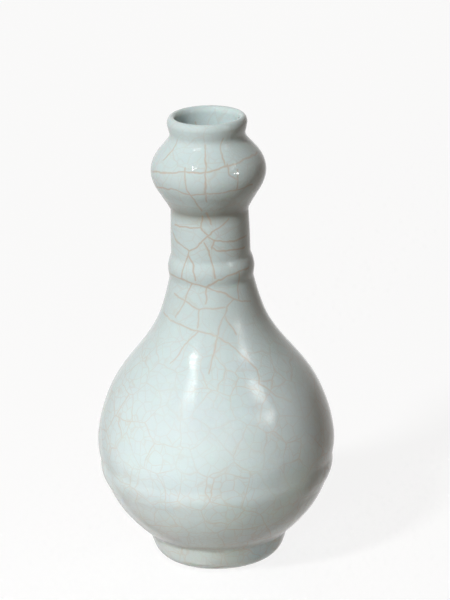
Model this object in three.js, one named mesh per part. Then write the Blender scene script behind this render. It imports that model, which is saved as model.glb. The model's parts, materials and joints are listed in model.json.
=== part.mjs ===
import * as THREE from "three";

// Sizes in millimetres, +Z up, foot on Z = 0, axis of the vase on the Z axis.
const roundSides = 32;
const glazeThickness = 0.7;
const baseGlazeThickness = 0.5;
const glazeStopHeight = 1.2;

// Foot ring
const footRimInnerRadius = 25.6;
const footRimOuterRadius = 27.8;
const footRimEdgeHeight = 0.5;
const footRimEdgeOuterRadius = 29.4;
const footRecessLowRadius = 25.1;
const footRecessTopRadius = 31;

// Seams between the thrown sections, each filled by a thin ring of slip
const slipThickness = 0.5;
const footSeamHeight = 12;
const bellySeamHeight = 55;
const shoulderSeamHeight = 132;
const neckSeamHeight = 181;
const bulbSeamHeight = 216;
const lipSeamHeight = 259.5;

// Applied clay bands, each centred on the seam that it covers
const bellyBandHalfHeight = 8;
const bellyBandLow = bellySeamHeight - bellyBandHalfHeight;
const bellyBandHigh = bellySeamHeight + bellyBandHalfHeight;
const bellyBandRise = 1.3;
const neckBandHalfHeight = 7;
const neckBandLow = neckSeamHeight - neckBandHalfHeight;
const neckBandHigh = neckSeamHeight + neckBandHalfHeight;
const neckBandRise = 1.7;

// Rolled lip, an upright oval in section, centred a little over the end of the outline
const lipCentreRadius = 20.7;
const lipCentreRise = 3.6;
const lipHalfWidth = 2;
const lipHalfHeight = 3.5;
const lipSteps = 8;

// Inside floor
const floorHeight = 17.5;

// Glazed outline of the vase as [height, radius], smoothed between the rows
const outsideRows = [
  [0, 28.6], [1, 31.2], [2.5, 33.8], [5, 36.4], [8, 38.2], [13, 40], [17, 41.5], [18.5, 43.4],
  [23, 48.2], [28, 52.9], [34, 57.7], [41, 61.9], [47, 64.6], [55, 66.9], [63, 68.8], [70, 69.9],
  [76, 69.9], [82, 69.1], [89, 67.6], [98, 64.7], [107, 60.8], [116, 55.3], [124, 49.2],
  [132, 42.7], [140, 37], [149, 32], [158, 28.7], [166, 26.4], [174, 24.6], [181, 23.6],
  [188, 23.3], [200, 23.2], [211, 22.9], [215.5, 22.9], [217.5, 23.9], [220.5, 25.6],
  [225, 28.4], [231, 31.9], [237, 33.6], [243, 33], [248.5, 30.3], [253.5, 26.2],
  [257.5, 23], [260.5, 22.1], [263.2, 22.7],
];

// Bare clay inside the vase as [height, radius]
const insideRows = [
  [17.5, 32], [19.5, 38], [23.5, 43.6], [31, 50.7], [42, 57.6], [55, 62.2], [63, 63.8],
  [72, 65], [80, 64.6], [89, 63], [102, 58.7], [116, 50.6], [125, 43.8], [132, 38], [141, 32.2],
  [152, 26.6], [164, 23.4], [181, 20], [200, 19.3], [214.5, 18.8], [218, 20.5], [222.5, 23],
  [230, 27.8], [237, 29.6], [243, 28.3], [248, 25.4], [252, 21.8], [255.5, 19.2], [259, 18.5],
  [263.2, 18.6],
];

// The rolled lip starts where the outline ends
const lipRollStart = outsideRows[outsideRows.length - 1][0];
const lipCentreHeight = lipRollStart + lipCentreRise;

// Radius on a smooth curve through the rows
function radiusAt(rows, height) {
  let k = 0;
  while (k < rows.length - 2 && rows[k + 1][0] <= height) {
    k += 1;
  }
  const slope = (i) => {
    const before = rows[Math.max(0, i - 1)];
    const after = rows[Math.min(rows.length - 1, i + 1)];
    return (after[1] - before[1]) / (after[0] - before[0]);
  };
  const span = rows[k + 1][0] - rows[k][0];
  const t = (height - rows[k][0]) / span;
  const bendStart = (1 + 2 * t) * (1 - t) * (1 - t);
  const bendEnd = t * t * (3 - 2 * t);
  const pullStart = t * (1 - t) * (1 - t) * span * slope(k);
  const pullEnd = t * t * (t - 1) * span * slope(k + 1);
  return bendStart * rows[k][1] + bendEnd * rows[k + 1][1] + pullStart + pullEnd;
}

// Line moved sideways along its own normal, its two ends kept level or on the axis
function moved(line, distance) {
  return line.map(([radius, height], i) => {
    if (radius === 0) {
      return [0, height + (line[i - 1][0] > 0 ? distance : -distance)];
    }
    if (i === 0 || i === line.length - 1) {
      return [radius + distance * (line[1][1] > line[0][1] ? 1 : -1), height];
    }
    const before = line[i - 1];
    const after = line[i + 1];
    const run = after[0] - before[0];
    const rise = after[1] - before[1];
    const size = Math.hypot(run, rise);
    return [radius + distance * rise / size, height - distance * run / size];
  });
}

// Bare clay outline from one height to another, with its sampled rows
function clayOutside(low, high) {
  const heights = outsideRows.map((row) => row[0]).filter((h) => h > low && h < high);
  return [low, ...heights, high].map((h) => [radiusAt(outsideRows, h) - glazeThickness, h]);
}

// Bare clay on the inside from one height to another
function clayInside(low, high) {
  const heights = insideRows.map((row) => row[0]).filter((h) => h > low && h < high);
  return [low, ...heights, high].map((h) => [radiusAt(insideRows, h), h]);
}

// Soft hump of an applied band between two heights
function bandOutside(low, high, rise) {
  const fractions = [0, 0.2, 0.4, 0.5, 0.6, 0.8, 1];
  return fractions.map((f) => {
    const height = low + f * (high - low);
    const hump = rise * Math.sin(Math.PI * f) ** 1.1;
    return [radiusAt(outsideRows, height) - glazeThickness + hump, height];
  });
}

// Half oval over the lip, from its outer side to its inner side
function lipRoll() {
  const points = [];
  for (let i = 0; i <= lipSteps; i += 1) {
    const angle = Math.PI * i / lipSteps;
    const radius = lipCentreRadius + lipHalfWidth * Math.cos(angle);
    points.push([radius, lipCentreHeight + lipHalfHeight * Math.sin(angle)]);
  }
  return points;
}

// One closed ring or bowl turned about the axis
function turned(name, outline, colour, roughness) {
  const closed = outline[0][0] === 0 ? outline : [...outline, outline[0]];
  const points = closed.map(([radius, height]) => new THREE.Vector2(radius, height));
  const geometry = new THREE.LatheGeometry(points, roundSides);
  geometry.rotateX(Math.PI / 2);
  const material = new THREE.MeshStandardMaterial({ color: colour, roughness });
  const mesh = new THREE.Mesh(geometry, material);
  mesh.name = name;
  return mesh;
}

// Up the outside and down the inside makes a loop that faces outward
function ringOutline(outside, inside) {
  return [...outside, ...[...inside].reverse()];
}

// Foot ring with a bare rim
function footRing() {
  const rim = [[footRimInnerRadius, 0], [footRimOuterRadius, 0]];
  const edge = [footRimEdgeOuterRadius, footRimEdgeHeight];
  const outside = [...rim, edge, ...clayOutside(glazeStopHeight, footSeamHeight)];
  const recess = [[footRecessTopRadius, footSeamHeight], [footRecessLowRadius, glazeStopHeight]];
  const chamfer = [footRecessLowRadius, footRimEdgeHeight];
  return turned("foot_ring", [...outside, ...recess, chamfer], 0xcdb79c, 0.85);
}

// Lower half of the belly with the floor of the vase
function lowerBelly() {
  const under = footSeamHeight + slipThickness;
  const base = [[0, under], [footRecessTopRadius, under]];
  const outside = clayOutsideWithBand(under, bellySeamHeight, bellyBandLow, bellyBandHigh);
  const inside = clayInside(floorHeight, bellySeamHeight).reverse();
  return turned("lower_belly", [...base, ...outside, ...inside, [0, floorHeight]], 0xd6c4ad, 0.8);
}

// Clay outline that also has the rows where a band rests on it
function clayOutsideWithBand(low, high, bandLow, bandHigh) {
  const bandHeights = [0, 0.2, 0.4, 0.5, 0.6, 0.8, 1].map((f) => bandLow + f * (bandHigh - bandLow));
  const own = outsideRows.map((row) => row[0]).filter((h) => h < bandLow || h > bandHigh);
  const heights = [...own, ...bandHeights].filter((h) => h > low + 0.2 && h < high - 0.2);
  heights.sort((a, b) => a - b);
  return [low, ...heights, high].map((h) => [radiusAt(outsideRows, h) - glazeThickness, h]);
}

// Plain thrown section between two seams
function section(name, lowSeam, high, bandEnds) {
  const low = lowSeam + slipThickness;
  const outside = clayOutsideWithBand(low, high, bandEnds[0], bandEnds[1]);
  return turned(name, ringOutline(outside, clayInside(low, high)), 0xd6c4ad, 0.8);
}

// Thrown lip ring with its rolled edge
function lipRing() {
  const low = lipSeamHeight + slipThickness;
  const outside = [...clayOutside(low, lipRollStart), ...lipRoll()];
  return turned("lip_ring", ringOutline(outside, clayInside(low, lipRollStart)), 0xd6c4ad, 0.8);
}

// Thin flat ring of slip that fills one seam
function slipRing(name, height) {
  const ends = [height, height + slipThickness];
  const outside = ends.map((h) => [radiusAt(outsideRows, h) - glazeThickness, h]);
  const inside = ends.map((h) => {
    return [height === footSeamHeight ? footRecessTopRadius : radiusAt(insideRows, h), h];
  });
  return turned(name, ringOutline(outside, inside), 0xe2d6c4, 0.9);
}

// Clay outline under a band, with the seam it hides
function bandBed(low, high, seam) {
  const line = clayOutsideWithBand(low, seam, low, high);
  const rest = clayOutsideWithBand(seam + slipThickness, high, low, high);
  return [...line, ...rest];
}

// Applied band of clay over one seam
function band(name, low, high, rise, seam) {
  const outside = bandOutside(low, high, rise).slice(1, -1);
  return turned(name, ringOutline(outside, bandBed(low, high, seam)), 0xcfbba0, 0.8);
}

// Face on which the outer glaze lies, from the foot over the lip to the opening
function outerGlazeBed() {
  const footTop = footSeamHeight + slipThickness;
  const upperRows = clayOutside(bulbSeamHeight + slipThickness, lipSeamHeight);
  return [
    ...clayOutside(glazeStopHeight, footSeamHeight),
    ...clayOutside(footTop, bellyBandLow).slice(0, -1),
    ...bandOutside(bellyBandLow, bellyBandHigh, bellyBandRise),
    ...clayOutside(bellyBandHigh, shoulderSeamHeight).slice(1),
    ...clayOutside(shoulderSeamHeight + slipThickness, neckBandLow).slice(0, -1),
    ...bandOutside(neckBandLow, neckBandHigh, neckBandRise),
    ...clayOutside(neckBandHigh, bulbSeamHeight).slice(1),
    ...upperRows,
    ...clayOutside(lipSeamHeight + slipThickness, lipRollStart),
    ...lipRoll(),
  ];
}

// Face on which the inner glaze lies, from the floor up to the lip
function innerGlazeBed() {
  const seams = [bellySeamHeight, shoulderSeamHeight, neckSeamHeight, bulbSeamHeight, lipSeamHeight];
  const bed = [[0, floorHeight]];
  let low = floorHeight;
  for (const seam of seams) {
    bed.push(...clayInside(low, seam));
    low = seam + slipThickness;
  }
  bed.push(...clayInside(low, lipRollStart), [lipCentreRadius - lipHalfWidth, lipCentreHeight]);
  return bed;
}

// Celadon coat outside
function outerGlaze() {
  const bed = outerGlazeBed();
  return turned("outer_glaze", ringOutline(moved(bed, glazeThickness), bed), 0xc3d0cc, 0.2);
}

// Celadon coat inside, closed on the axis at the floor
function innerGlaze() {
  const bed = innerGlazeBed();
  const face = bed.map(([radius, height], i) => {
    if (i === 0) {
      return [0, height + glazeThickness];
    }
    if (i === bed.length - 1) {
      return [radius - glazeThickness, height];
    }
    const run = bed[i + 1][0] - bed[i - 1][0];
    const rise = bed[i + 1][1] - bed[i - 1][1];
    const size = Math.hypot(run, rise);
    return [radius - glazeThickness * rise / size, height + glazeThickness * run / size];
  });
  return turned("inner_glaze", [...bed, ...face.reverse()], 0xbccac6, 0.25);
}

// Celadon coat under the base and inside the foot
function baseGlaze() {
  const under = footSeamHeight + slipThickness;
  const t = baseGlazeThickness;
  const face = [
    [0, under - t], [footRecessTopRadius - t, under - t], [footRecessLowRadius - t, glazeStopHeight],
  ];
  const bed = [
    [footRecessLowRadius, glazeStopHeight], [footRecessTopRadius, footSeamHeight],
    [footRecessTopRadius, under], [0, under],
  ];
  return turned("base_glaze", [...face, ...bed], 0xb9c7c2, 0.25);
}

function buildVase() {
  const vase = new THREE.Group();
  vase.name = "crackle_glaze_vase";
  const bellyBandEnds = [bellyBandLow, bellyBandHigh];
  const neckBandEnds = [neckBandLow, neckBandHigh];
  vase.add(
    footRing(),
    slipRing("foot_luting_slip", footSeamHeight),
    lowerBelly(),
    slipRing("belly_luting_slip", bellySeamHeight),
    section("upper_belly", bellySeamHeight, shoulderSeamHeight, bellyBandEnds),
    slipRing("shoulder_luting_slip", shoulderSeamHeight),
    section("lower_neck", shoulderSeamHeight, neckSeamHeight, neckBandEnds),
    slipRing("neck_luting_slip", neckSeamHeight),
    section("upper_neck", neckSeamHeight, bulbSeamHeight, neckBandEnds),
    slipRing("bulb_luting_slip", bulbSeamHeight),
    section("mouth_bulb", bulbSeamHeight, lipSeamHeight, [0, 0]),
    slipRing("lip_luting_slip", lipSeamHeight),
    lipRing(),
    band("belly_band", bellyBandLow, bellyBandHigh, bellyBandRise, bellySeamHeight),
    band("neck_band", neckBandLow, neckBandHigh, neckBandRise, neckSeamHeight),
    outerGlaze(),
    innerGlaze(),
    baseGlaze(),
  );
  return vase;
}

export default buildVase();
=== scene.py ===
import math
import json
import bpy
import bmesh
from mathutils import Matrix

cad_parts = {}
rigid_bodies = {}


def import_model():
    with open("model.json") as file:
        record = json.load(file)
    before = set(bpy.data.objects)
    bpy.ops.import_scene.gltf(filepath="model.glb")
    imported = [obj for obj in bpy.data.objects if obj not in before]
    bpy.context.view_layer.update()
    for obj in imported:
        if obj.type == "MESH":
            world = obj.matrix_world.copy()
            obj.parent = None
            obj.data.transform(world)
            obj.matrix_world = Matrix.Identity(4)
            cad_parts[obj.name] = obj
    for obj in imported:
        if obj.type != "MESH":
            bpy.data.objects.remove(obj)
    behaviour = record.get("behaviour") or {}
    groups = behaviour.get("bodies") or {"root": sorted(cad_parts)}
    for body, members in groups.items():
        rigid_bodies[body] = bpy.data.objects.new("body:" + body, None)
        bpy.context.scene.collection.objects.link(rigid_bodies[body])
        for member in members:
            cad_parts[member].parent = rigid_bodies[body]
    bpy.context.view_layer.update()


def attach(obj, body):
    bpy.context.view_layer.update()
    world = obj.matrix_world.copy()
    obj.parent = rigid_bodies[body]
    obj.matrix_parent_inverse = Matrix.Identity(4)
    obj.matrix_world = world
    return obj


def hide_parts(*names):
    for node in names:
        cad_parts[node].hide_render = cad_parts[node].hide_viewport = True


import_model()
print("CAD loaded")

mm = 0.001


# Hex colour to linear values for the shaders
def linearColour(hexText):
    values = []
    for k in (0, 2, 4):
        c = int(hexText[k:k + 2], 16) / 255
        values.append(c / 12.92 if c <= 0.04045 else ((c + 0.055) / 1.055) ** 2.4)
    return (*values, 1)


# Add one node with its settings and the links into it
def addNode(tree, kind, settings=None, links=None):
    node = tree.nodes.new(kind)
    for key, value in (settings or {}).items():
        if isinstance(key, str) and hasattr(node, key):
            setattr(node, key, value)
        else:
            node.inputs[key].default_value = value
    for key, source in (links or {}).items():
        tree.links.new(source, node.inputs[key])
    return node


# Noise whose patches have a real size in mm
def addNoise(tree, place, sizeMm, detail, roughness=0.5):
    return addNode(tree, "ShaderNodeTexNoise",
                   {"Scale": 1000 / sizeMm, "Detail": detail, "Roughness": roughness},
                   {"Vector": place.outputs["Object"]})


# A value between two limits, carried over to two other limits and held there
def addRange(tree, source, fromEnds, toEnds):
    return addNode(tree, "ShaderNodeMapRange",
                   {"From Min": fromEnds[0], "From Max": fromEnds[1], "To Min": toEnds[0],
                    "To Max": toEnds[1], "clamp": True}, {"Value": source})


def newMaterial(name):
    material = bpy.data.materials.new(name)
    material.use_nodes = True
    tree = material.node_tree
    tree.nodes.clear()
    return material, tree


def finish(tree, shader):
    output = tree.nodes.new("ShaderNodeOutputMaterial")
    tree.links.new(shader.outputs[0], output.inputs["Surface"])


# Unglazed stoneware, fired to a warm tan with fine dark grains
def makeClay(name, hexText, grainMm):
    material, tree = newMaterial(name)
    place = addNode(tree, "ShaderNodeTexCoord")
    grain = addNoise(tree, place, grainMm, 6, 0.7)
    ramp = addNode(tree, "ShaderNodeValToRGB", None, {0: grain.outputs[0]})
    base = linearColour(hexText)
    ramp.color_ramp.elements[0].position = 0.3
    ramp.color_ramp.elements[0].color = (base[0] * 0.7, base[1] * 0.66, base[2] * 0.6, 1)
    ramp.color_ramp.elements[1].position = 0.6
    ramp.color_ramp.elements[1].color = base
    bump = addNode(tree, "ShaderNodeBump", {"Strength": 0.4, "Distance": 0.0003},
                   {"Height": grain.outputs[0]})
    shader = addNode(tree, "ShaderNodeBsdfPrincipled", {"Roughness": 0.85},
                     {"Base Color": ramp.outputs[0], "Normal": bump.outputs[0]})
    finish(tree, shader)
    return material


# One level of crackle: distance to the nearest cell edge, in mm, with a random value per cell
def crackleLevel(tree, vector, cellMm, seedOffset):
    moved = addNode(tree, "ShaderNodeVectorMath", {"operation": "ADD", 1: seedOffset}, {0: vector})
    edge = addNode(tree, "ShaderNodeTexVoronoi",
                   {"feature": "DISTANCE_TO_EDGE", "Scale": 1000 / cellMm, "Randomness": 1},
                   {"Vector": moved.outputs[0]})
    cell = addNode(tree, "ShaderNodeTexVoronoi",
                   {"feature": "F1", "Scale": 1000 / cellMm, "Randomness": 1},
                   {"Vector": moved.outputs[0]})
    inMm = addNode(tree, "ShaderNodeMath", {"operation": "MULTIPLY", 1: cellMm},
                   {0: edge.outputs["Distance"]})
    return inMm.outputs[0], cell.outputs["Color"]


# Node group: distance in mm from a point to one crack segment, on the unrolled surface
def makeSegmentGroup():
    group = bpy.data.node_groups.new("crackSegment", "ShaderNodeTree")
    for name in ("Point", "Stretch", "Start", "End"):
        group.interface.new_socket(name=name, in_out="INPUT", socket_type="NodeSocketVector")
    group.interface.new_socket(name="Previous", in_out="INPUT", socket_type="NodeSocketFloat")
    group.interface.new_socket(name="Distance", in_out="OUTPUT", socket_type="NodeSocketFloat")
    entry = group.nodes.new("NodeGroupInput")
    leave = group.nodes.new("NodeGroupOutput")

    def vector(operation, a, b=None, scale=None):
        links = {0: a}
        if b is not None:
            links[1] = b
        if scale is not None:
            links["Scale"] = scale
        return addNode(group, "ShaderNodeVectorMath", {"operation": operation}, links)

    # The stretch waits for the previous segment, so that the renderer holds only one at a time
    below = addNode(group, "ShaderNodeMath", {"operation": "MULTIPLY", 1: -1},
                    {0: entry.outputs["Previous"]})
    stretch = vector("MAXIMUM", entry.outputs["Stretch"], below.outputs[0]).outputs[0]
    start = vector("MULTIPLY", entry.outputs["Start"], stretch)
    end = vector("MULTIPLY", entry.outputs["End"], stretch)
    along = vector("SUBTRACT", end.outputs[0], start.outputs[0])
    away = vector("SUBTRACT", entry.outputs["Point"], start.outputs[0])
    top = vector("DOT_PRODUCT", away.outputs[0], along.outputs[0])
    bottom = vector("DOT_PRODUCT", along.outputs[0], along.outputs[0])
    share = addNode(group, "ShaderNodeMath", {"operation": "DIVIDE", "use_clamp": True},
                    {0: top.outputs["Value"], 1: bottom.outputs["Value"]})
    foot = vector("SCALE", along.outputs[0], scale=share.outputs[0])
    gap = vector("SUBTRACT", away.outputs[0], foot.outputs[0])
    size = vector("LENGTH", gap.outputs[0])
    nearer = addNode(group, "ShaderNodeMath", {"operation": "MINIMUM"},
                     {0: entry.outputs["Previous"], 1: size.outputs["Value"]})
    group.links.new(nearer.outputs[0], leave.inputs["Distance"])
    return group


# Long cracks as [azimuth in degrees, height in mm] corners, used for the front half and the back half
longCracks = [
    [[28, 214], [7, 208], [-5, 204], [-14, 200], [-34, 195]],
    [[-34, 195], [-61, 200], [-75, 205]],
    [[-34, 195], [-33, 192], [-39, 188], [-43, 178]],
    [[-32, 192], [-24, 187], [-22, 178]],
    [[-11, 218], [-15, 213], [-14, 210], [-5, 205]],
    [[-61, 208], [-40, 209], [-14, 210]],
    [[-5, 220], [2, 212]],
    [[-5, 204], [5, 202], [20, 201], [40, 200], [64, 200]],
    [[6, 202], [1, 197]],
    [[-9, 200], [-3, 196], [0, 190], [5, 180]],
    [[1, 198], [9, 196], [31, 195], [60, 194]],
    [[-80, 178], [-43, 178], [-27, 176], [-6, 174], [12, 171], [30, 166], [55, 162]],
    [[-6, 174], [-1, 176], [8, 179], [39, 182], [59, 182]],
    [[-27, 176], [-37, 166], [-46, 155]],
    [[-58, 168], [-37, 166], [-24, 163], [-16, 162], [15, 162]],
    [[-6, 174], [-8, 165]],
    [[28, 166], [18, 162], [12, 156], [4, 147]],
    [[-16, 162], [-17, 151]],
    [[-72, 154], [-40, 152], [-16, 149], [4, 147]],
    [[15, 157], [22, 150], [25, 146]],
    [[40, 182], [36, 166]],
    [[-82, 240], [-45, 244], [-24, 246], [-2, 246], [19, 248], [44, 250], [76, 250]],
    [[-3, 259], [-4, 246], [-3, 228]],
    [[-26, 248], [-22, 236], [-16, 227], [-10, 221]],
    [[31, 246], [29, 234]],
    [[-74, 232], [-39, 235], [-18, 232], [-2, 234], [28, 234], [51, 235]],
    [[22, 249], [22, 244], [30, 241]],
    [[5, 146], [16, 142], [26, 135], [33, 128], [30, 121], [38, 114], [48, 108]],
    [[4, 147], [0, 139], [-4, 129]],
    [[-16, 149], [-28, 141], [-36, 132]],
    [[-60, 249], [-54, 255], [-51, 260]],
    [[18, 248], [19, 256], [24, 262]],
]


# Shortest distance in mm to any long crack, bent a little so that no line is straight
def longCrackDistance(tree, place):
    group = makeSegmentGroup()
    wobble = addNoise(tree, place, 9, 3)
    centred = addNode(tree, "ShaderNodeVectorMath", {"operation": "SUBTRACT", 1: (0.5, 0.5, 0.5)},
                      {0: wobble.outputs[1]})
    small = addNode(tree, "ShaderNodeVectorMath", {"operation": "SCALE", "Scale": 0.0042},
                    {0: centred.outputs[0]})
    bent = addNode(tree, "ShaderNodeVectorMath", {"operation": "ADD"},
                   {0: place.outputs["Object"], 1: small.outputs[0]})
    parts = addNode(tree, "ShaderNodeSeparateXYZ", None, {0: bent.outputs[0]})
    back = addNode(tree, "ShaderNodeMath", {"operation": "MULTIPLY", 1: -1}, {0: parts.outputs["Y"]})
    side = addNode(tree, "ShaderNodeMath", {"operation": "SIGN"}, {0: back.outputs[0]})
    facing = addNode(tree, "ShaderNodeMath", {"operation": "ABSOLUTE"}, {0: back.outputs[0]})
    sideways = addNode(tree, "ShaderNodeMath", {"operation": "MULTIPLY"},
                       {0: parts.outputs["X"], 1: side.outputs[0]})
    azimuth = addNode(tree, "ShaderNodeMath", {"operation": "ARCTAN2"},
                      {0: sideways.outputs[0], 1: facing.outputs[0]})
    flat = addNode(tree, "ShaderNodeCombineXYZ", None, {0: parts.outputs["X"], 1: parts.outputs["Y"]})
    radius = addNode(tree, "ShaderNodeVectorMath", {"operation": "LENGTH"}, {0: flat.outputs[0]})
    radiusMm = addNode(tree, "ShaderNodeMath", {"operation": "MULTIPLY", 1: 1000},
                       {0: radius.outputs["Value"]})
    across = addNode(tree, "ShaderNodeMath", {"operation": "MULTIPLY"},
                     {0: azimuth.outputs[0], 1: radiusMm.outputs[0]})
    up = addNode(tree, "ShaderNodeMath", {"operation": "MULTIPLY", 1: 1000}, {0: parts.outputs["Z"]})
    point = addNode(tree, "ShaderNodeCombineXYZ", None, {0: across.outputs[0], 1: up.outputs[0]})
    stretch = addNode(tree, "ShaderNodeCombineXYZ", {1: 1, 2: 1}, {0: radiusMm.outputs[0]})
    nearest = None
    for line in longCracks:
        for a, b in zip(line, line[1:]):
            node = tree.nodes.new("ShaderNodeGroup")
            node.node_tree = group
            tree.links.new(point.outputs[0], node.inputs["Point"])
            tree.links.new(stretch.outputs[0], node.inputs["Stretch"])
            node.inputs["Start"].default_value = (math.radians(a[0]), a[1], 0)
            node.inputs["End"].default_value = (math.radians(b[0]), b[1], 0)
            if nearest is None:
                node.inputs["Previous"].default_value = 1000
            else:
                tree.links.new(nearest, node.inputs["Previous"])
            nearest = node.outputs["Distance"]
    return nearest


# Crack strength from distance: full on the line, none at the given half width
def crackLine(tree, distance, halfWidthMm, strength):
    return addRange(tree, distance, (0, halfWidthMm), (strength, 0)).outputs[0]


# Strength of one socket times another
def times(tree, a, b):
    return addNode(tree, "ShaderNodeMath", {"operation": "MULTIPLY"}, {0: a, 1: b}).outputs[0]


# Painted shade: a darker glaze colour in the creases above the foot and under the bulb, where shade falls
def paintedCreaseShade(tree, height):
    creaseShadeMask = None
    for crease in creaseShadeBands:
        away = addNode(tree, "ShaderNodeMath", {"operation": "SUBTRACT", 1: crease["height"] * mm},
                       {0: height})
        distance = addNode(tree, "ShaderNodeMath", {"operation": "ABSOLUTE"}, {0: away.outputs[0]})
        share = addRange(tree, distance.outputs[0], (0, crease["reach"] * mm), (crease["strength"], 0))
        if creaseShadeMask is None:
            creaseShadeMask = share
        else:
            creaseShadeMask = addNode(tree, "ShaderNodeMath", {"operation": "MAXIMUM"},
                           {0: creaseShadeMask.outputs[0], 1: share.outputs[0]})
    return creaseShadeMask.outputs[0]


# Painted shade in the creases: height and reach in mm, and how far the colour is pulled to the dark tone
creaseShadeBands = [{"height": 18, "reach": 3.5, "strength": 0.3},
                {"height": 217, "reach": 7, "strength": 0.6}]
# Sizes in mm of what the eye finds in the glaze, from the slow colour change down to the surface grain
glazeSizes = {"tone": 70, "patch": 38, "swell": 22, "bend": 17, "middleCell": 17, "fineCell": 6.5,
              "longHalfWidth": 0.8, "middleHalfWidth": 0.5, "fineHalfWidth": 0.45, "grain": 1.1}


# Pale celadon glaze: milky depth, long tan cracks, a faint finer net and a fine grain in the shine
def makeGlaze(name, look):
    material, tree = newMaterial(name)
    place = addNode(tree, "ShaderNodeTexCoord")
    bend = addNoise(tree, place, glazeSizes["bend"], 2)
    centred = addNode(tree, "ShaderNodeVectorMath", {"operation": "SUBTRACT", 1: (0.5, 0.5, 0.5)},
                      {0: bend.outputs[1]})
    shrunk = addNode(tree, "ShaderNodeVectorMath", {"operation": "SCALE", "Scale": 0.008},
                     {0: centred.outputs[0]})
    bent = addNode(tree, "ShaderNodeVectorMath", {"operation": "ADD"},
                   {0: place.outputs["Object"], 1: shrunk.outputs[0]})
    middle, middleCell = crackleLevel(tree, bent.outputs[0], glazeSizes["middleCell"], (0.7, 0.2, 0.9))
    shiftFine = addNode(tree, "ShaderNodeVectorMath", {"operation": "SCALE", "Scale": 0.5},
                        {0: middleCell})
    inMiddle = addNode(tree, "ShaderNodeVectorMath", {"operation": "ADD"},
                       {0: bent.outputs[0], 1: shiftFine.outputs[0]})
    fine = crackleLevel(tree, inMiddle.outputs[0], glazeSizes["fineCell"], (0.15, 0.55, 0.35))[0]
    patch = addNoise(tree, place, glazeSizes["patch"], 2).outputs[0]
    patchy = addRange(tree, patch, (0.38, 0.62), (0.35, 1)).outputs[0]
    height = addNode(tree, "ShaderNodeSeparateXYZ", None, {0: place.outputs["Object"]}).outputs["Z"]
    upward = addRange(tree, height, (0.1, 0.15), (0.5, 1)).outputs[0]
    downward = addRange(tree, height, (0.1, 0.16), (1, 0.5)).outputs[0]
    lineB = crackLine(tree, middle, glazeSizes["middleHalfWidth"], look["middleStrength"])
    lineC = crackLine(tree, fine, glazeSizes["fineHalfWidth"], look["fineStrength"])
    net = addNode(tree, "ShaderNodeMath", {"operation": "MAXIMUM"}, {0: lineB, 1: lineC})
    cracks = times(tree, times(tree, net.outputs[0], downward), patchy)
    if look["longStrength"] > 0:
        lineA = crackLine(tree, longCrackDistance(tree, place), glazeSizes["longHalfWidth"],
                          look["longStrength"])
        faded = addRange(tree, patch, (0.35, 0.6), (0.5, 1)).outputs[0]
        strong = times(tree, lineA, times(tree, faded, upward))
        cracks = addNode(tree, "ShaderNodeMath", {"operation": "MAXIMUM"},
                         {0: cracks, 1: strong}).outputs[0]
    tone = addNoise(tree, place, glazeSizes["tone"], 4, 0.55)
    body = addNode(tree, "ShaderNodeMix", {"data_type": "RGBA", 6: linearColour(look["pale"]),
                                           7: linearColour(look["deep"])}, {"Factor": tone.outputs[0]})
    low = addRange(tree, height, (0.014, 0.06), (0.22, 0)).outputs[0]
    footTone = addNode(tree, "ShaderNodeMix", {"data_type": "RGBA", 7: linearColour("b3a897")},
                       {"Factor": low, 6: body.outputs[2]})
    # Painted shade: glaze colour pulled towards dark 7d7a68 in the creases above the foot and under the bulb
    creaseShadedColour = addNode(tree, "ShaderNodeMix", {"data_type": "RGBA", 7: linearColour("7d7a68")},
                     {"Factor": paintedCreaseShade(tree, height), 6: footTone.outputs[2]})
    stained = addNode(tree, "ShaderNodeMix", {"data_type": "RGBA", 7: linearColour(look["stain"])},
                      {"Factor": cracks, 6: creaseShadedColour.outputs[2]})
    grain = addNoise(tree, place, glazeSizes["grain"], 0)
    grainBump = addNode(tree, "ShaderNodeBump", {"Strength": 0.6, "Distance": 0.00017},
                        {"Height": grain.outputs[0]})
    swell = addNoise(tree, place, glazeSizes["swell"], 2)
    swellBump = addNode(tree, "ShaderNodeBump", {"Strength": 0.3, "Distance": 0.0006},
                        {"Height": swell.outputs[0], "Normal": grainBump.outputs[0]})
    groove = addNode(tree, "ShaderNodeMath", {"operation": "SUBTRACT", 0: 1}, {1: cracks})
    grooveBump = addNode(tree, "ShaderNodeBump", {"Strength": 0.2, "Distance": 0.00012},
                         {"Height": groove.outputs[0], "Normal": swellBump.outputs[0]})
    shader = addNode(tree, "ShaderNodeBsdfPrincipled",
                     {"Roughness": 0.1, "IOR": 1.45, "Specular IOR Level": 0.33,
                      "Subsurface Weight": 0.06, "Subsurface Scale": 0.003},
                     {"Base Color": stained.outputs[2], "Normal": grooveBump.outputs[0]})
    finish(tree, shader)
    return material


print("Materials")
clayMaterial = makeClay("stonewareClay", "c9b08f", 1.4)
slipMaterial = makeClay("lutingSlip", "d8cbb6", 1.1)
outerGlazeLook = {"pale": "d0dfe0", "deep": "bfd0d1", "stain": "b98f66", "longStrength": 0.55,
                  "middleStrength": 0.37, "fineStrength": 0.22}
innerGlazeLook = {"pale": "cfdedf", "deep": "bfd0d0", "stain": "bd8a5c", "longStrength": 0,
                  "middleStrength": 0.45, "fineStrength": 0.15}
outerGlazeMaterial = makeGlaze("celadonCrackleGlaze", outerGlazeLook)
innerGlazeMaterial = makeGlaze("celadonInnerGlaze", innerGlazeLook)

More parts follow.
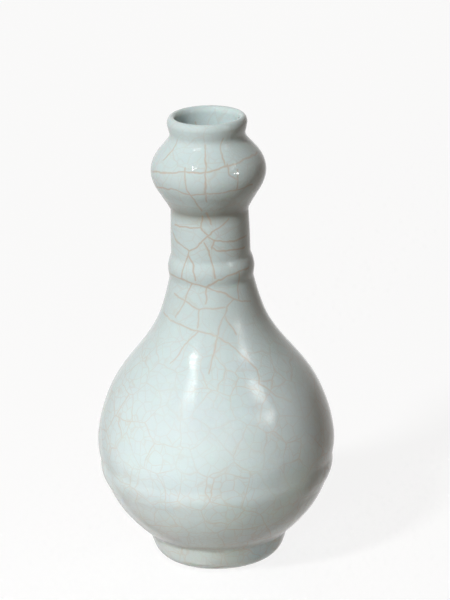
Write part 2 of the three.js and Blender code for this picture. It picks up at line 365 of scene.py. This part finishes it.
clayNodes = ["foot_ring", "lower_belly", "upper_belly", "lower_neck", "upper_neck", "mouth_bulb",
             "lip_ring", "belly_band", "neck_band"]
slipNodes = ["foot_luting_slip", "belly_luting_slip", "shoulder_luting_slip", "neck_luting_slip",
             "bulb_luting_slip", "lip_luting_slip"]
glazeNodes = {"outer_glaze": outerGlazeMaterial, "inner_glaze": innerGlazeMaterial,
              "base_glaze": innerGlazeMaterial}
for piece in bpy.data.objects:
    if piece.type != "MESH":
        continue
    material = None
    if piece.name in clayNodes:
        material = clayMaterial
    elif piece.name in slipNodes:
        material = slipMaterial
    elif piece.name in glazeNodes:
        material = glazeNodes[piece.name]
    if material:
        piece.data.materials.clear()
        piece.data.materials.append(material)


# Smooth radius through rows of [height, radius], the same curve as the CAD uses
def radiusAt(rows, height):
    k = 0
    while k < len(rows) - 2 and rows[k + 1][0] <= height:
        k += 1

    def slope(i):
        before = rows[max(0, i - 1)]
        after = rows[min(len(rows) - 1, i + 1)]
        return (after[1] - before[1]) / (after[0] - before[0])

    span = rows[k + 1][0] - rows[k][0]
    t = (height - rows[k][0]) / span
    ends = (1 + 2 * t) * (1 - t) ** 2 * rows[k][1] + t * t * (3 - 2 * t) * rows[k + 1][1]
    pull = t * (1 - t) ** 2 * span * slope(k) + t * t * (t - 1) * span * slope(k + 1)
    return ends + pull


outsideRows = [
    [0, 28.6], [1, 31.2], [2.5, 33.8], [5, 36.4], [8, 38.2], [13, 40], [17, 41.5], [18.5, 43.4],
    [23, 48.2], [28, 52.9], [34, 57.7], [41, 61.9], [47, 64.6], [55, 66.9], [63, 68.8], [70, 69.9],
    [76, 69.9], [82, 69.1], [89, 67.6], [98, 64.7], [107, 60.8], [116, 55.3], [124, 49.2],
    [132, 42.7], [140, 37], [149, 32], [158, 28.7], [166, 26.4], [174, 24.6], [181, 23.6],
    [188, 23.3], [200, 23.2], [211, 22.9], [215.5, 22.9], [217.5, 23.9], [220.5, 25.6],
    [225, 28.4], [231, 31.9], [237, 33.6], [243, 33], [248.5, 30.3], [253.5, 26.2],
    [257.5, 23], [260.5, 22.1], [263.2, 22.7],
]
bands = {"belly": {"low": 47, "high": 63, "rise": 1.3}, "neck": {"low": 174, "high": 188, "rise": 1.7}}
lipRoll = {"radius": 20.7, "height": 266.8, "halfWidth": 2.7, "halfHeight": 4.2}


# Height of the glazed surface at one height, bands included
def glazedRadius(height):
    radius = radiusAt(outsideRows, height)
    for band in bands.values():
        if band["low"] < height < band["high"]:
            part = (height - band["low"]) / (band["high"] - band["low"])
            radius += band["rise"] * math.sin(math.pi * part) ** 1.1
    return radius


sharpFrom = math.radians(50)


# Spin a profile of [radius, height] in mm about the Z axis into one closed skin
def spun(name, profile, material, node, steps=160):
    shape = bmesh.new()
    ring = [shape.verts.new((r * mm, 0, h * mm)) for r, h in profile]
    pairs = zip(ring, ring[1:] + ring[:1])
    edges = [shape.edges.new(pair) for pair in pairs]
    bmesh.ops.spin(shape, geom=ring + edges, cent=(0, 0, 0), axis=(0, 0, 1), angle=2 * math.pi,
                   steps=steps, use_duplicate=False)
    bmesh.ops.remove_doubles(shape, verts=shape.verts, dist=0.000005)
    bmesh.ops.recalc_face_normals(shape, faces=shape.faces)
    for face in shape.faces:
        face.smooth = True
    for edge in shape.edges:
        edge.smooth = edge.calc_face_angle(0) < sharpFrom
    mesh = bpy.data.meshes.new(name)
    shape.to_mesh(mesh)
    shape.free()
    piece = bpy.data.objects.new(name, mesh)
    bpy.context.scene.collection.objects.link(piece)
    mesh.materials.append(material)
    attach(piece, "root")
    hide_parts(node)


print("Outer glaze")
outerGlaze = {"startHeight": 1.2, "endHeight": 263.2, "step": 1.3, "thickness": 0.7, "rollSteps": 24}
count = round((outerGlaze["endHeight"] - outerGlaze["startHeight"]) / outerGlaze["step"])
heights = [outerGlaze["startHeight"] + (outerGlaze["endHeight"] - outerGlaze["startHeight"]) * i / count
           for i in range(count + 1)]
face = [(glazedRadius(h), h) for h in heights]
bed = [(glazedRadius(h) - outerGlaze["thickness"], h) for h in heights]
for i in range(outerGlaze["rollSteps"] + 1):
    angle = math.pi * i / outerGlaze["rollSteps"]
    side, rise = math.cos(angle), math.sin(angle)
    face.append((lipRoll["radius"] + lipRoll["halfWidth"] * side,
                 lipRoll["height"] + lipRoll["halfHeight"] * rise))
    bed.append((lipRoll["radius"] + (lipRoll["halfWidth"] - outerGlaze["thickness"]) * side,
                lipRoll["height"] + (lipRoll["halfHeight"] - outerGlaze["thickness"]) * rise))
spun("outerGlazeCoat", face + bed[::-1], outerGlazeMaterial, "outer_glaze")

print("Inner glaze")
insideRows = [
    [17.5, 32], [19.5, 38], [23.5, 43.6], [31, 50.7], [42, 57.6], [55, 62.2], [63, 63.8],
    [72, 65], [80, 64.6], [89, 63], [102, 58.7], [116, 50.6], [125, 43.8], [132, 38], [141, 32.2],
    [152, 26.6], [164, 23.4], [181, 20], [200, 19.3], [214.5, 18.8], [218, 20.5], [222.5, 23],
    [230, 27.8], [237, 29.6], [243, 28.3], [248, 25.4], [252, 21.8], [255.5, 19.2], [259, 18.5],
    [263.2, 18.6],
]
innerGlaze = {"floor": 17.5, "top": 263.2, "step": 2, "thickness": 0.7}
count = round((innerGlaze["top"] - innerGlaze["floor"]) / innerGlaze["step"])
bed = [(radiusAt(insideRows, h), h) for h in
       (innerGlaze["floor"] + (innerGlaze["top"] - innerGlaze["floor"]) * i / count
        for i in range(count + 1))]
bed.append((lipRoll["radius"] - lipRoll["halfWidth"] + innerGlaze["thickness"], lipRoll["height"]))
face = []
for i, (radius, height) in enumerate(bed[:-1]):
    before, after = bed[max(0, i - 1)], bed[i + 1]
    run, rise = after[0] - before[0], after[1] - before[1]
    size = math.hypot(run, rise)
    face.append((radius - innerGlaze["thickness"] * rise / size,
                 height + innerGlaze["thickness"] * run / size))
face[0] = (face[0][0], innerGlaze["floor"] + innerGlaze["thickness"])
face.append((bed[-1][0] - innerGlaze["thickness"], bed[-1][1]))
face.insert(0, (0, innerGlaze["floor"] + innerGlaze["thickness"]))
bed.insert(0, (0, innerGlaze["floor"]))
spun("innerGlazeCoat", bed + face[::-1], outerGlazeMaterial, "inner_glaze")

print("Foot and base")
foot = {"rimInner": 25.6, "rimOuter": 27.8, "edgeOuter": 29.4, "edgeHeight": 0.5, "recessLow": 25.1,
        "recessTop": 31, "seam": 12, "slip": 0.5, "baseGlaze": 0.5}
footHeights = [outerGlaze["startHeight"], 2.5, 5, 8, foot["seam"]]
footSide = [(glazedRadius(h) - outerGlaze["thickness"], h) for h in footHeights]
footProfile = [(foot["rimInner"], 0), (foot["rimOuter"], 0), (foot["edgeOuter"], foot["edgeHeight"])]
footProfile += footSide
footProfile += [(foot["recessTop"], foot["seam"]), (foot["recessLow"], outerGlaze["startHeight"]),
                (foot["recessLow"], foot["edgeHeight"])]
spun("footRingClay", footProfile, clayMaterial, "foot_ring")
under = foot["seam"] + foot["slip"]
coat = foot["baseGlaze"]
baseProfile = [(0, under - coat), (foot["recessTop"] - coat, under - coat),
               (foot["recessLow"] - coat, outerGlaze["startHeight"]),
               (foot["recessLow"], outerGlaze["startHeight"]), (foot["recessTop"], foot["seam"]),
               (foot["recessTop"], under), (0, under)]
spun("baseGlazeCoat", baseProfile, innerGlazeMaterial, "base_glaze")

print("Camera and stage")
camera = bpy.data.cameras.new("camera")
camera.lens = 269.3
camera.sensor_width = 36
camera.sensor_fit = "AUTO"
camera.clip_start = 0.1
camera.clip_end = 20
view = {"distance": 2.5, "height": 0.9869, "roll": 1.6, "aim": 0.158, "aside": 0.0075}
eye = (view["aside"], -view["distance"], view["height"])
down = math.atan2(view["height"] - view["aim"], view["distance"])
cameraObject = bpy.data.objects.new("camera", camera)
bpy.context.scene.collection.objects.link(cameraObject)
turn = Matrix.Rotation(math.pi / 2 - down, 4, "X") @ Matrix.Rotation(-math.radians(view["roll"]), 4, "Z")
cameraObject.matrix_world = Matrix.Translation(eye) @ turn
bpy.context.scene.camera = cameraObject


# Share of white that camera, mirror and see-through rays meet, while soft light rays meet the rest
def seenDirectly(tree, share):
    ray = addNode(tree, "ShaderNodeLightPath")
    first = addNode(tree, "ShaderNodeMath", {"operation": "MAXIMUM"},
                    {0: ray.outputs["Is Camera Ray"], 1: ray.outputs["Is Glossy Ray"]})
    either = addNode(tree, "ShaderNodeMath", {"operation": "MAXIMUM"},
                     {0: first.outputs[0], 1: ray.outputs["Is Transmission Ray"]})
    part = addNode(tree, "ShaderNodeMath", {"operation": "MULTIPLY", 1: share}, {0: either.outputs[0]})
    return part.outputs[0]


floorMesh = bpy.data.meshes.new("floor")
floorShape = bmesh.new()
bmesh.ops.create_grid(floorShape, x_segments=1, y_segments=1, size=3)
floorShape.to_mesh(floorMesh)
floorShape.free()
floor = bpy.data.objects.new("floor", floorMesh)
bpy.context.scene.collection.objects.link(floor)
floorMaterial, floorTree = newMaterial("whitePaper")
paperTone = addNode(floorTree, "ShaderNodeMix", {"data_type": "RGBA", 6: linearColour("75685c"),
                                                 7: (1, 1, 1, 1)},
                    {"Factor": seenDirectly(floorTree, 1)})
paper = addNode(floorTree, "ShaderNodeBsdfPrincipled", {"Roughness": 0.9},
                {"Base Color": paperTone.outputs[2]})
glow = addNode(floorTree, "ShaderNodeEmission", {"Strength": 1.0})
glow.inputs["Color"].default_value = (1, 1, 1, 1)
blend = addNode(floorTree, "ShaderNodeMixShader", None,
                {0: seenDirectly(floorTree, 0.86), 1: paper.outputs[0], 2: glow.outputs[0]})
finish(floorTree, blend)
floorMesh.materials.append(floorMaterial)

world = bpy.data.worlds.new("studio")
bpy.context.scene.world = world
world.use_nodes = True
worldTree = world.node_tree
worldTree.nodes.clear()
soft = addNode(worldTree, "ShaderNodeBackground", {"Strength": 0.12})
soft.inputs["Color"].default_value = linearColour("d8b48c")
white = addNode(worldTree, "ShaderNodeBackground", {"Strength": 1})
white.inputs["Color"].default_value = (1, 1, 1, 1)
mixWorld = addNode(worldTree, "ShaderNodeMixShader", None,
                   {0: seenDirectly(worldTree, 1), 1: soft.outputs[0], 2: white.outputs[0]})
worldOut = worldTree.nodes.new("ShaderNodeOutputWorld")
worldTree.links.new(mixWorld.outputs[0], worldOut.inputs["Surface"])


# Area lamp aimed at a point of the vase
def addLamp(name, place, power, width, aimHeight):
    light = bpy.data.lights.new(name, "AREA")
    light.energy = power
    light.size = width
    lamp = bpy.data.objects.new(name, light)
    bpy.context.scene.collection.objects.link(lamp)
    lamp.location = place
    away = lamp.location - Matrix.Translation((0, 0, aimHeight)).to_translation()
    lamp.rotation_euler = away.to_track_quat("Z", "Y").to_euler()
    return lamp


print("Lamps")
# Lamps by direction from the middle of the vase: azimuth from the camera side, elevation, distance in metres
middleHeight = 0.13
lamps = {
    "keyLamp": {"azimuth": -38, "elevation": 40, "distance": 1.9, "power": 31, "width": 0.25,
                "see": "diffuse", "aim": middleHeight, "spread": 180},
    "tableLamp": {"azimuth": -22, "elevation": 6, "distance": 1.6, "power": 0.068, "width": 0.2,
                  "see": "diffuse", "aim": 0, "spread": 8},
    "softLamp": {"azimuth": -4, "elevation": 18, "distance": 1.8, "power": 2.8, "width": 0.8,
                 "see": "diffuse", "aim": middleHeight, "spread": 180},
    "backLamp": {"azimuth": 178, "elevation": 32, "distance": 1.9, "power": 8, "width": 0.8,
                 "see": "diffuse", "aim": middleHeight, "spread": 180},
    "glintLamp": {"azimuth": -38, "elevation": 49, "distance": 1.9, "power": 8, "width": 0.05,
                  "see": "glossy", "aim": middleHeight, "spread": 180},
    "rightUpperLamp": {"azimuth": 62, "elevation": 42, "distance": 1.8, "power": 5, "width": 0.04,
                       "see": "glossy", "aim": middleHeight, "spread": 180},
    "rightLowerLamp": {"azimuth": 58, "elevation": 22, "distance": 1.8, "power": 8, "width": 0.06,
                       "see": "glossy", "aim": middleHeight, "spread": 180},
}
for lampName, lamp in lamps.items():
    turn, lift = math.radians(lamp["azimuth"]), math.radians(lamp["elevation"])
    spot = (lamp["distance"] * math.cos(lift) * math.sin(turn),
            -lamp["distance"] * math.cos(lift) * math.cos(turn),
            lamp["distance"] * math.sin(lift) + middleHeight)
    placed = addLamp(lampName, spot, lamp["power"], lamp["width"], lamp["aim"])
    placed.data.spread = math.radians(lamp["spread"])
    placed.visible_glossy = lamp["see"] == "glossy"
    placed.visible_diffuse = lamp["see"] == "diffuse"

scene = bpy.context.scene
scene.view_settings.view_transform = "Standard"
